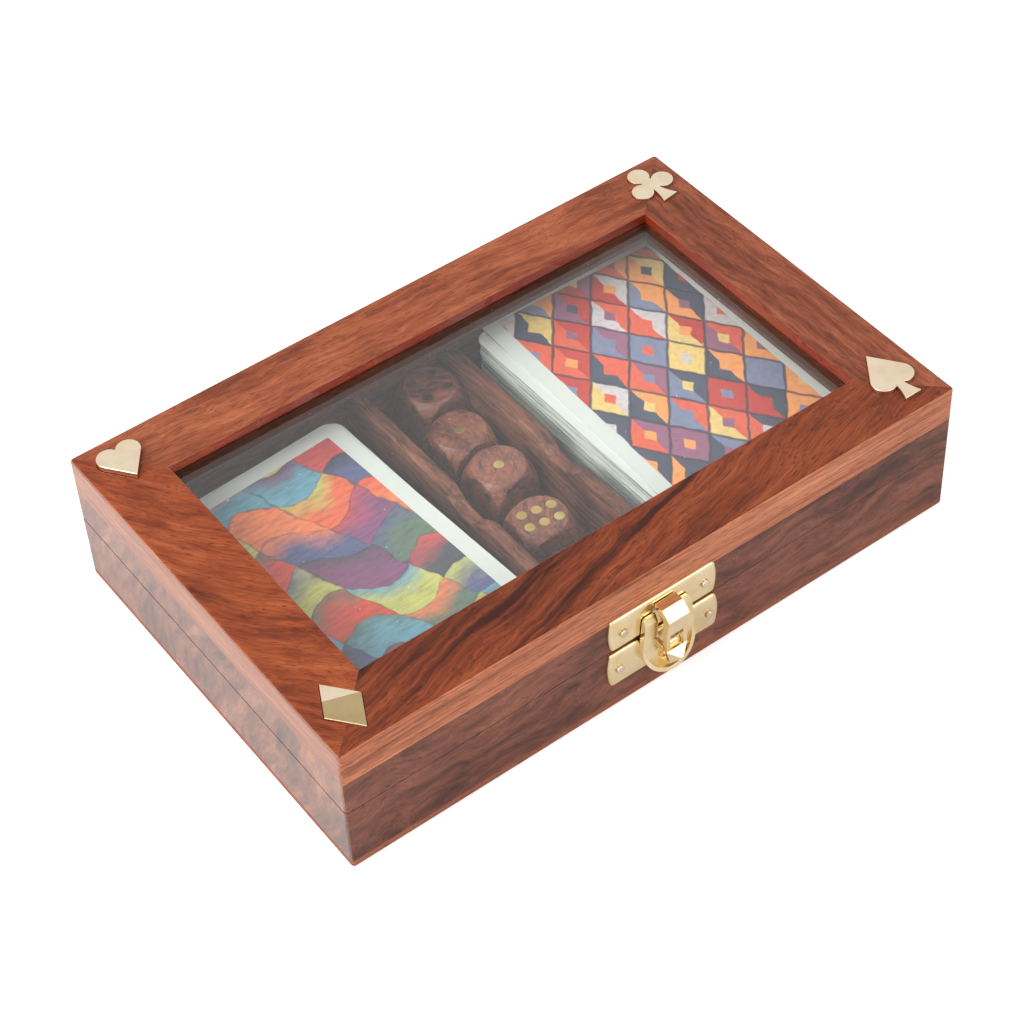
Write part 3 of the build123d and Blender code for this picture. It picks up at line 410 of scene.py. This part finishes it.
# Measures of the two patterns, in millimetres.
WAVE_LENGTH = 29.0
WAVE_SWING = 3.4
WAVE_BAND = 11.5
WAVE_WOBBLE = 8.0
STRIP_W = 15.0
STRIP_SLANT = 0.34         # across for each millimetre along
LOZENGE_W = 12.0
LOZENGE_L = 16.2
LOZENGE_WOBBLE = 0.16      # in cells


def cell_ink(tree, x, y, z, inks):
    """One of the inks, by chance, for each whole-numbered cell."""
    key = flat_vector(tree, x, y, z)
    chance = put(tree, "ShaderNodeTexWhiteNoise", {"Vector": key}, noise_dimensions="3D")
    stops = [(i / len(inks), ink) for i, ink in enumerate(inks)]
    return ramp(tree, chance.outputs["Value"], stops, "CONSTANT")


def brushed(tree, picture, place, scale, levels, strength):
    """Uneven strokes over a picture; levels are (position, brightness) stops of the paint."""
    wash = noise(tree, place, scale, detail=5.0, roughness=0.7)
    tint = ramp(tree, wash, [(position, grey(level)) for position, level in levels])
    return mix(tree, strength, picture, tint, "MULTIPLY")


def outlined(tree, picture, place, nearness, uneven, gain, offset, strength, ink):
    """Dark lines of uneven width where the nearness of a cell's edge is high."""
    rough = maths(tree, "MULTIPLY", noise(tree, place, 0.3, detail=4.0), uneven)
    line = mask(tree, maths(tree, "ADD", nearness, rough), gain, offset)
    return mix(tree, maths(tree, "MULTIPLY", line, strength), picture, ink)


def wave_back(name):
    """Card back of painted waves, cut by slanting strips into patches of soft mixed colours."""
    material, tree, shader = new_material(name)
    across, along = card_axes(tree)
    place = flat_vector(tree, across, along)
    height, strip = wave_cells(tree, place, across, along)
    band, column = maths(tree, "FLOOR", height), maths(tree, "FLOOR", strip)
    share, other_share = maths(tree, "FRACT", height), maths(tree, "FRACT", strip)
    ink = cell_ink(tree, band, column, 0.0, LEFT_INKS)
    next_ink = cell_ink(tree, band, column, 5.0, LEFT_INKS)

    drift = maths(tree, "MULTIPLY", noise(tree, place, 0.14, detail=4.0), 1.5)
    spread = maths(tree, "ADD", maths(tree, "MULTIPLY", share, 1.4), drift)
    picture = mix(tree, maths(tree, "SUBTRACT", spread, 1.3, clamp=True), ink, next_ink)
    drawn = {"Vector": place, "Rotation": (0, 0, 0.5), "Scale": (0.25, 1.1, 1)}
    brush = put(tree, "ShaderNodeMapping", drawn).outputs["Vector"]
    picture = brushed(tree, picture, brush, 0.8, [(0.3, 0.45), (0.5, 0.98), (0.72, 1.3)], strength=0.7)

    rim = maths(tree, "MAXIMUM", edge_nearness(tree, share), edge_nearness(tree, other_share))
    picture = outlined(tree, picture, place, rim, uneven=0.12, gain=22.0, offset=-11.6, strength=0.7,
                       ink=srgb(58, 60, 66))
    finish_card(tree, shader, across, along, picture)
    return material


def wave_cells(tree, place, across, along):
    """How many waves up and how many strips across a point is."""
    wobble = maths(tree, "MULTIPLY", noise(tree, place, 0.06), WAVE_WOBBLE)
    angle = maths(tree, "MULTIPLY", across, tau / WAVE_LENGTH)
    swing = maths(tree, "MULTIPLY", maths(tree, "SINE", angle), WAVE_SWING)
    height = maths(tree, "ADD", maths(tree, "ADD", along, swing), wobble)
    slant = maths(tree, "MULTIPLY_ADD", along, STRIP_SLANT, maths(tree, "ADD", across, wobble))
    return maths(tree, "DIVIDE", height, WAVE_BAND), maths(tree, "DIVIDE", slant, STRIP_W)


def lozenge_back(name):
    """Card back of a lattice of tall lozenges, each split into two painted halves."""
    material, tree, shader = new_material(name)
    across, along = card_axes(tree)
    place = flat_vector(tree, across, along)
    first, second = lozenge_cells(tree, place, across, along)
    cell_a, cell_b = maths(tree, "FLOOR", first), maths(tree, "FLOOR", second)
    share_a, share_b = maths(tree, "FRACT", first), maths(tree, "FRACT", second)
    half = maths(tree, "GREATER_THAN", maths(tree, "ADD", share_a, share_b), 1.0)
    rim = maths(tree, "MAXIMUM", edge_nearness(tree, share_a), edge_nearness(tree, share_b))

    core = mask(tree, rim, gain=-40.0, offset=6.4)
    ink = cell_ink(tree, cell_a, cell_b, half, RIGHT_INKS)
    core_ink = cell_ink(tree, cell_b, cell_a, 7.0, RIGHT_INKS[::-1])
    picture = mix(tree, core, ink, core_ink)
    picture = brushed(tree, picture, place, 0.6, [(0.3, 0.62), (0.52, 0.98), (0.8, 1.18)], strength=0.6)
    picture = outlined(tree, picture, place, rim, uneven=0.05, gain=40.0, offset=-19.0, strength=0.85,
                       ink=srgb(52, 50, 62))
    finish_card(tree, shader, across, along, picture)
    return material


def lozenge_cells(tree, place, across, along):
    """Cell counts along the lattice's two directions."""
    uneven = maths(tree, "SUBTRACT", noise(tree, place, 0.2), 0.5)
    wobble = maths(tree, "MULTIPLY", uneven, LOZENGE_WOBBLE)
    u = maths(tree, "DIVIDE", across, LOZENGE_W)
    v = maths(tree, "DIVIDE", along, LOZENGE_L)
    first = maths(tree, "ADD", maths(tree, "ADD", u, v), wobble)
    second = maths(tree, "ADD", maths(tree, "SUBTRACT", u, v), wobble)
    return first, second


# ------------------------------------------------------------------ mesh helpers
SAME_PLACE = 0.002 * MM    # corners closer than this are one
SAME_LEVEL = 0.01 * MM     # heights closer than this are the same
FLAT_ANGLE = 0.4           # degrees; faces that turn less become one
EDGE_ANGLE = 25            # degrees; where faces turn more, the edge is rounded
MITRE_AREA = 20 * MM * MM


def add_piece(name, mesh, body, materials, nodes):
    """Make an object of a mesh, seat it on its body and let it stand for CAD nodes."""
    piece = bpy.data.objects.new(name, mesh)
    bpy.context.scene.collection.objects.link(piece)
    for material in materials:
        mesh.materials.append(material)
    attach(piece, body)
    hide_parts(*nodes)
    return piece


def is_mitre(face):
    """True for the large flat faces on which two mitred pieces meet."""
    normal = face.normal
    flat = abs(normal.z) < 0.01 and abs(abs(normal.x) - abs(normal.y)) < 0.02
    return flat and face.calc_area() > MITRE_AREA


def bevelled(node, width, segments, keep_sharp=None, clamp=True):
    """A clean copy of a CAD node's mesh with its edges rounded. keep_sharp leaves edges out."""
    mesh = bmesh.new()
    mesh.from_mesh(frame["nodes"][node].data)
    bmesh.ops.remove_doubles(mesh, verts=mesh.verts, dist=SAME_PLACE)
    bmesh.ops.dissolve_limit(mesh, angle_limit=radians(FLAT_ANGLE), verts=mesh.verts, edges=mesh.edges)
    mesh.normal_update()
    edges = [
        e for e in mesh.edges
        if len(e.link_faces) == 2 and e.calc_face_angle(0) > radians(EDGE_ANGLE)
        and not (keep_sharp and keep_sharp(e))
    ]
    bmesh.ops.bevel(mesh, geom=edges, offset=width, segments=segments, profile=0.5,
                    affect="EDGES", clamp_overlap=clamp)
    return mesh


def to_mesh(name, built, pick=None, angle=30):
    """Turn a bmesh into shaded mesh data; pick gives each face its material's index."""
    built.normal_update()
    for face in built.faces:
        face.smooth = True
        if pick:
            face.material_index = pick(face)
    data = bpy.data.meshes.new(name)
    built.to_mesh(data)
    built.free()
    data.set_sharp_from_angle(angle=radians(angle))
    return data


def glued(edge):
    """True for edges in a glue line or a mitre, which stay closed."""
    heights = [v.co.z for v in edge.verts]
    if any(all(abs(z - level) < SAME_LEVEL for z in heights) for level in GLUED_Z):
        return True
    return any(is_mitre(face) for face in edge.link_faces)


def weighted(piece):
    """Flat faces keep their shading next to rounded edges."""
    piece.modifiers.new("weighted", "WEIGHTED_NORMAL").keep_sharp = True


# ------------------------------------------------------------------ wooden pieces
RAIL_TOP, RAIL_EDGE, RAIL_LIP, RAIL_BARE = range(4)
# Cosines of the angle between a face and the way out of the box, or up.
FACES_OUT = 0.7
FACES_IN = -0.2
NEARLY_LEVEL = 0.98
SEAM_TILTS = (0.2, 0.97)


def rail_pick(side):
    """Picks a rail's finish for each face, from the way that the face points."""
    facing = Vector(OUTWARD[side])

    def pick(face):
        outward = face.normal.dot(facing)
        if outward > FACES_OUT:
            return RAIL_EDGE
        if outward > FACES_IN:
            return RAIL_TOP
        return RAIL_LIP if face.calc_center_median().z > GLASS_TOP else RAIL_BARE

    return pick


def make_rails():
    """Lid rails: figured top, straight-grained edge, polished lip, bare wood under the glass."""
    for side in SIDES:
        node = f"lid_rail_{side}"
        mesh = to_mesh(node, bevelled(node, WOOD_EDGE, 2, glued), rail_pick(side))
        weighted(add_piece(f"rail_{side}", mesh, "lid", rail_materials(side), [node]))


def in_seam(face):
    """Picks the second finish for the rounded edges along the seam: dark wood as painted shade in the
    groove between lid and base.
    """
    least, most = SEAM_TILTS
    return int(least < abs(face.normal.z) < most)


def make_walls():
    """Lid and base walls."""
    # Painted shade: the rounded edges of the seam get dark wood for the shade in the groove between lid and
    # base.
    seam = bare_wood("seam_painted_shade")
    for level, body in (("lid_wall", "lid"), ("base_wall", "base")):
        for n, side in enumerate(SIDES):
            node = f"{level}_{side}"
            mesh = to_mesh(node, bevelled(node, WOOD_EDGE, 2, glued), in_seam)
            outer = wall_material(f"{node}_wood", side, (PLANK_STEP * n, 0.05, 0))
            weighted(add_piece(f"{node}_dressed", mesh, body, [outer, seam], [node]))


def on_rim(face):
    """Picks the second finish for the rounded sides of the bottom board."""
    return int(abs(face.normal.z) < NEARLY_LEVEL)


def make_bottom_and_partitions():
    """Bottom board and the two partitions."""
    board = wood("bottom_wood", (0, 0, 0), FRONT_TONES, (0.4, 0.2, 0), streak=1.6, stretch=22.0,
                 curl=2.0, roughness=0.42)
    rim = wood("bottom_edge_wood", (0, 0, 0), BOARD_EDGE_TONES, (0.1, 0.2, 0), streak=1.0, stretch=26.0,
               curl=1.0, roughness=0.42)
    mesh = to_mesh("bottom_board", bevelled("bottom_board", WOOD_EDGE, 1, glued), on_rim)
    weighted(add_piece("bottom_board_dressed", mesh, "base", [board, rim], ["bottom_board"]))
    for n, side in enumerate(ENDS):
        node = f"partition_{side}"
        inner = wood(f"{node}_wood", (0, 0, HEADING["left"]), INSIDE_TONES, (PLANK_STEP * n, 0.3, 0),
                     streak=1.4, stretch=12.0, contrast=1.4, stripes=0.5, pores=0.9, roughness=0.5)
        mesh = to_mesh(node, bevelled(node, WOOD_EDGE, 2))
        weighted(add_piece(f"{node}_dressed", mesh, "base", [inner], [node]))


# ------------------------------------------------------------------ brass pieces
LATCH_LOW, LATCH_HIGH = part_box("latch_plate_lid")
NIB_REACH = 3.0 * MM
PLATE_RIM = 1.5 * MM
PLATE_BACK = 0.1 * MM      # depth in which a plate's back edges lie
RIM_ANGLE = 30             # degrees; the faces of a plate turn less at the inner line of its rim
REFLECTION_EDGE = 0.53              # share of the way down the diamond's left side at which the painted reflection's edge starts


def make_brass():
    """Inlays, latch and hinges."""
    inlay = brass("inlay_brass", srgb(233, 215, 188), srgb(224, 203, 170), roughness=0.24)
    # Painted reflection: darker brass drawn on one part of the flat diamond's face, standing for what that
    # face mirrors.
    painted_reflection = brass("diamond_painted_reflection", srgb(186, 163, 122), srgb(176, 151, 108), roughness=0.3)
    latch = brass("latch_brass", srgb(242, 221, 178), srgb(228, 200, 148), roughness=0.22)
    pin = brass("pin_brass", srgb(226, 212, 192), srgb(206, 186, 158), roughness=0.32)
    hinge = brass("hinge_brass", srgb(214, 180, 112), srgb(168, 132, 74), roughness=0.26)
    for body, nodes in frame["record"]["behaviour"]["bodies"].items():
        for node in nodes:
            if node == "diamond_inlay":
                add_brass(node, body, [inlay, painted_reflection], INLAY_EDGE, pick=painted_reflection_side())
            elif node.endswith("_inlay"):
                add_brass(node, body, [inlay], INLAY_EDGE)
            elif node.startswith("latch_plate_"):
                add_brass(node, body, [latch], PLATE_EDGE, keep_sharp=stays_sharp)
            elif node.startswith("latch_pins_"):
                add_brass(node, body, [pin], BRASS_EDGE)
            elif node.startswith("latch_"):
                add_brass(node, body, [latch], BRASS_EDGE)
            elif node.startswith("hinge_"):
                add_brass(node, body, [hinge], BRASS_EDGE)


def add_brass(node, body, finishes, width, pick=None, keep_sharp=None):
    """One brass piece with rounded edges. pick splits the diamond where its painted reflection begins.

    The short edges of a plate would narrow its rounding, so that one isn't clamped.
    """
    built = bevelled(node, width, 4, keep_sharp, clamp=width < PLATE_EDGE)
    if pick:
        start, across = reflection_edge_line()
        bmesh.ops.bisect_plane(built, geom=built.verts[:] + built.edges[:] + built.faces[:],
                               plane_co=start, plane_no=across)
    mesh = to_mesh(node, built, pick, angle=25)
    weighted(add_piece(f"{node}_dressed", mesh, body, finishes, [node]))


def reflection_edge_line():
    """A point on the line across the diamond where the painted reflection begins, and the level direction
    square to it.
    """
    points = [v.co for v in frame["nodes"]["diamond_inlay"].data.vertices]
    top = max(points, key=lambda p: p.y)
    left = min(points, key=lambda p: p.x)
    right = max(points, key=lambda p: p.x)
    start = top.lerp(left, REFLECTION_EDGE)
    along = right - start
    return start, Vector((along.y, -along.x, 0)).normalized()


def painted_reflection_side():
    """Picks the second finish, a darker painted reflection, for the part of the diamond's flat face in
    front of that line.
    """
    start, across = reflection_edge_line()

    def pick(face):
        beyond = (face.calc_center_median() - start).dot(across) > 0
        return int(beyond and face.normal.z > 0.5)

    return pick


def stays_sharp(edge):
    """True for a plate's back, the inner line of its rim, and the nib on the lid's plate."""
    middle = (LATCH_LOW.x + LATCH_HIGH.x) / 2
    nib_low, nib_high = LATCH_LOW.z + PLATE_RIM, LATCH_HIGH.z - PLATE_RIM / 2
    on_back = all(v.co.y > LATCH_HIGH.y - PLATE_BACK for v in edge.verts)
    on_nib = all(abs(v.co.x - middle) < NIB_REACH and nib_low < v.co.z < nib_high for v in edge.verts)
    return on_back or on_nib or edge.calc_face_angle(0) < radians(RIM_ANGLE)


# ------------------------------------------------------------------ dice
DICE = 4
DIE_TURN = (20, 12, 35)    # degrees that the grain turns from one die to the next
PIP_STEP = 0.9 * MM        # the edges round a pip hole are shorter than this


def make_dice():
    """Waxed wooden dice with let-in brass pips."""
    pip = brass("pip_brass", srgb(226, 200, 132), srgb(190, 158, 90), roughness=0.3)
    for n in range(1, DICE + 1):
        node = f"die_{n}"
        turn = tuple(a * n for a in DIE_TURN)
        body_wood = wood(f"{node}_wood", turn, DIE_TONES, (PLANK_STEP * n, 0, 0), streak=1.2, stretch=9.0,
                         curl=5.0, contrast=1.3, stripes=0.4, pores=0.9, roughness=0.36, coat=0.35)
        mesh = to_mesh(node, bevelled(node, DIE_EDGE, 3, keep_sharp=is_pip_edge), angle=60)
        weighted(add_piece(f"{node}_dressed", mesh, "base", [body_wood], [node]))
        mesh = to_mesh(f"{node}_pips", bevelled(f"{node}_pips", PIP_EDGE, 2))
        weighted(add_piece(f"{node}_pips_dressed", mesh, "base", [pip], [f"{node}_pips"]))


def is_pip_edge(edge):
    """True for the short edges round a pip hole."""
    return edge.calc_length() < PIP_STEP


# ------------------------------------------------------------------ cards
DECKS = {
    "left": ("deck_left", "card_left_top"),
    "right": ("deck_right", "card_right_second", "card_right_top"),
}
CORNER_STEPS = 5
NEW_GROUP = 0.4            # chance that a card starts a new group
GROUP_DRIFT = 0.22         # millimetres, of each group of cards
CARD_DRIFT = 0.06          # millimetres, of each card in its group
CARD_TURN = 0.0015         # radians
CARD_GAP = 0.05 * MM
SIDE_TOLERANCE = 0.5 * MM


def card_outline():
    """Corner points of a card, counter-clockwise, about its middle."""
    points = []
    for quarter, (sx, sy) in enumerate(((1, 1), (-1, 1), (-1, -1), (1, -1))):
        centre = Vector((sx * (CARD_W / 2 - CARD_CORNER_R), sy * (CARD_L / 2 - CARD_CORNER_R)))
        for k in range(CORNER_STEPS + 1):
            angle = pi / 2 * (quarter + k / CORNER_STEPS)
            points.append(centre + CARD_CORNER_R * Vector((cos(angle), sin(angle))))
    return points


def add_card(built, uv_layer, place, low, high):
    """One card between two heights; place is its 2-D middle and turn."""
    (x, y), turn = place
    spin = Matrix.Rotation(turn, 2)
    flat = card_outline()
    moved = [spin @ p + Vector((x, y)) for p in flat]
    lower = [built.verts.new((*p, low)) for p in moved]
    upper = [built.verts.new((*p, high)) for p in moved]
    top = built.faces.new(upper)
    bottom = built.faces.new(lower[::-1])
    for face, points in ((top, flat), (bottom, flat[::-1])):
        face.material_index = 1
        for loop, p in zip(face.loops, points):
            loop[uv_layer].uv = (p.x / CARD_W + 0.5, p.y / CARD_L + 0.5)
    count = len(flat)
    for i in range(count):
        j = (i + 1) % count
        built.faces.new((lower[i], lower[j], upper[j], upper[i]))


def turn_of(node):
    """Turn of a card or deck, from a long straight side of its solid."""
    mesh = frame["nodes"][node].data
    longest = max(mesh.edges, key=lambda e: side_vector(mesh, e).xy.length)
    side = side_vector(mesh, longest).xy
    return -Vector((0, 1)).angle_signed(side if side.y > 0 else -side)


def side_vector(mesh, edge):
    """The vector along a level edge about as long as a card's straight side, or nothing."""
    a, b = (mesh.vertices[i].co for i in edge.vertices)
    level = abs(a.z - b.z) < SAME_LEVEL
    straight = abs((b - a).length - (CARD_L - 2 * CARD_CORNER_R)) < SIDE_TOLERANCE
    return b - a if level and straight else Vector((0, 0, 0))


def drift(chance, spread):
    """A shift by chance, across and along; the spread is in millimetres."""
    return Vector((chance.gauss(0, spread), chance.gauss(0, spread))) * MM


def card_stack(node, chance):
    """A deck as single cards in groups that lie a little askew, or one loose card."""
    low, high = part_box(node)
    middle = (low + high) / 2
    turn = turn_of(node)
    built = bmesh.new()
    uv_layer = built.loops.layers.uv.new("card")
    count = max(1, round((high.z - low.z) / CARD_T))
    pitch = (high.z - low.z) / count
    in_deck = count > 1
    gap = CARD_GAP * in_deck
    group = Vector((0, 0))
    for i in range(count):
        if in_deck and chance.random() < NEW_GROUP:
            group = drift(chance, GROUP_DRIFT)
        shift = group + drift(chance, CARD_DRIFT) * in_deck
        place = ((middle.x + shift.x, middle.y + shift.y), turn + chance.gauss(0, CARD_TURN) * in_deck)
        add_card(built, uv_layer, place, low.z + i * pitch + gap, low.z + (i + 1) * pitch)
    return to_mesh(node, built)


def make_cards():
    """Decks as stacks of single cards, and the loose cards on them."""
    edges = paper_edge()
    backs = {"left": wave_back("left_card_back"), "right": lozenge_back("right_card_back")}
    for side, nodes in DECKS.items():
        chance = random.Random(len(side))
        for node in nodes:
            finishes = [edges, backs[side]]
            add_piece(f"{node}_cards", card_stack(node, chance), "base", finishes, [node])


# ------------------------------------------------------------------ studio
# The camera was solved from the box's outline in the photograph. Its place is in metres, its
# angles in degrees, and its lens and sensor in millimetres.
CAMERA_AT = Vector((-0.2503, -0.3614, 0.4794))
CAMERA_AZIMUTH = 34.61
CAMERA_ELEVATION = 45.57
CAMERA_ROLL = 3.12
CAMERA_LENS = 92.04
CAMERA_SHIFT = -0.0605
SENSOR_W = 36.0
NEAREST = 0.01             # metres; what is nearer isn't drawn


def make_camera():
    """Camera at the photograph's viewing angle."""
    data = bpy.data.cameras.new("camera")
    data.lens = CAMERA_LENS
    data.sensor_width = SENSOR_W
    data.shift_y = CAMERA_SHIFT
    data.clip_start = NEAREST
    camera = bpy.data.objects.new("camera", data)
    bpy.context.scene.collection.objects.link(camera)
    azimuth, elevation = radians(CAMERA_AZIMUTH), radians(CAMERA_ELEVATION)
    ahead = Vector((sin(azimuth) * cos(elevation), cos(azimuth) * cos(elevation), -sin(elevation)))
    camera.rotation_mode = "QUATERNION"
    camera.location = CAMERA_AT
    camera.rotation_quaternion = Quaternion(ahead, radians(CAMERA_ROLL)) @ ahead.to_track_quat("-Z", "Y")
    bpy.context.scene.camera = camera


# Lamps: place and side of the soft box in metres, and power in watts.
LAMPS = {
    "key": ((-1.3, 0.1, 1.1), 1.3, 24),
    "fill": ((0.6, -1.2, 1.2), 1.0, 6),
}
AMBIENT = 0.62             # strength of the surround as a light; what is seen of it has 1
FLOOR_LIFT = 0.55          # glow that only the camera sees
FLOOR_REACH = 6.0          # metres from the box to each side of the floor


def add_lamp(name, place, size, power):
    """Square soft box, aimed at the middle of the floor."""
    data = bpy.data.lights.new(name, "AREA")
    data.size = size
    data.energy = power
    lamp = bpy.data.objects.new(name, data)
    bpy.context.scene.collection.objects.link(lamp)
    lamp.location = place
    lamp.rotation_mode = "QUATERNION"
    lamp.rotation_quaternion = (-Vector(place)).to_track_quat("-Z", "Y")


def make_surround():
    """White surround. Seen by the camera, in gloss or through glass, it is brighter than as a light."""
    world = bpy.data.worlds.new("surround")
    bpy.context.scene.world = world
    world.use_nodes = True
    tree = world.node_tree
    background = tree.nodes["Background"]
    path = put(tree, "ShaderNodeLightPath")
    seen = maths(tree, "MAXIMUM", path.outputs["Is Camera Ray"], path.outputs["Is Transmission Ray"])
    seen = maths(tree, "MAXIMUM", seen, path.outputs["Is Glossy Ray"])
    strength = maths(tree, "MULTIPLY_ADD", seen, 1 - AMBIENT, AMBIENT)
    background.inputs["Color"].default_value = (1, 1, 1, 1)
    tree.links.new(strength, background.inputs["Strength"])


def make_floor():
    """Pale floor that the box stands on."""
    built = bmesh.new()
    bmesh.ops.create_grid(built, x_segments=1, y_segments=1, size=FLOOR_REACH)
    floor_mesh = bpy.data.meshes.new("floor")
    built.to_mesh(floor_mesh)
    built.free()
    ground = bpy.data.objects.new("floor", floor_mesh)
    bpy.context.scene.collection.objects.link(ground)
    floor_mesh.materials.append(floor_paper())


def floor_paper():
    """White paper. The camera sees it almost fully lit, so that only close shadows stay."""
    material, tree, shader = new_material("floor_paper")
    place = put(tree, "ShaderNodeTexCoord").outputs["Object"]
    tooth = noise(tree, place, 900.0, detail=2.0)
    shade = ramp(tree, tooth, [(0.3, grey(0.8)), (0.7, grey(0.84))])
    seen = put(tree, "ShaderNodeLightPath").outputs["Is Camera Ray"]
    plug(tree, shader.inputs["Base Color"], shade)
    plug(tree, shader.inputs["Emission Strength"], maths(tree, "MULTIPLY", seen, FLOOR_LIFT))
    shader.inputs["Emission Color"].default_value = (1, 1, 1, 1)
    shader.inputs["Roughness"].default_value = 1.0
    shader.inputs["Specular IOR Level"].default_value = 0.0
    return material


# ------------------------------------------------------------------ build
make_rails()
make_walls()
make_bottom_and_partitions()
make_brass()
make_dice()
make_cards()
frame["nodes"]["glass_pane"].data.materials.clear()
frame["nodes"]["glass_pane"].data.materials.append(clear_glass())
make_camera()
make_surround()
make_floor()
for lamp_name, lamp in LAMPS.items():
    add_lamp(lamp_name, *lamp)
bpy.context.scene.view_settings.view_transform = "Standard"
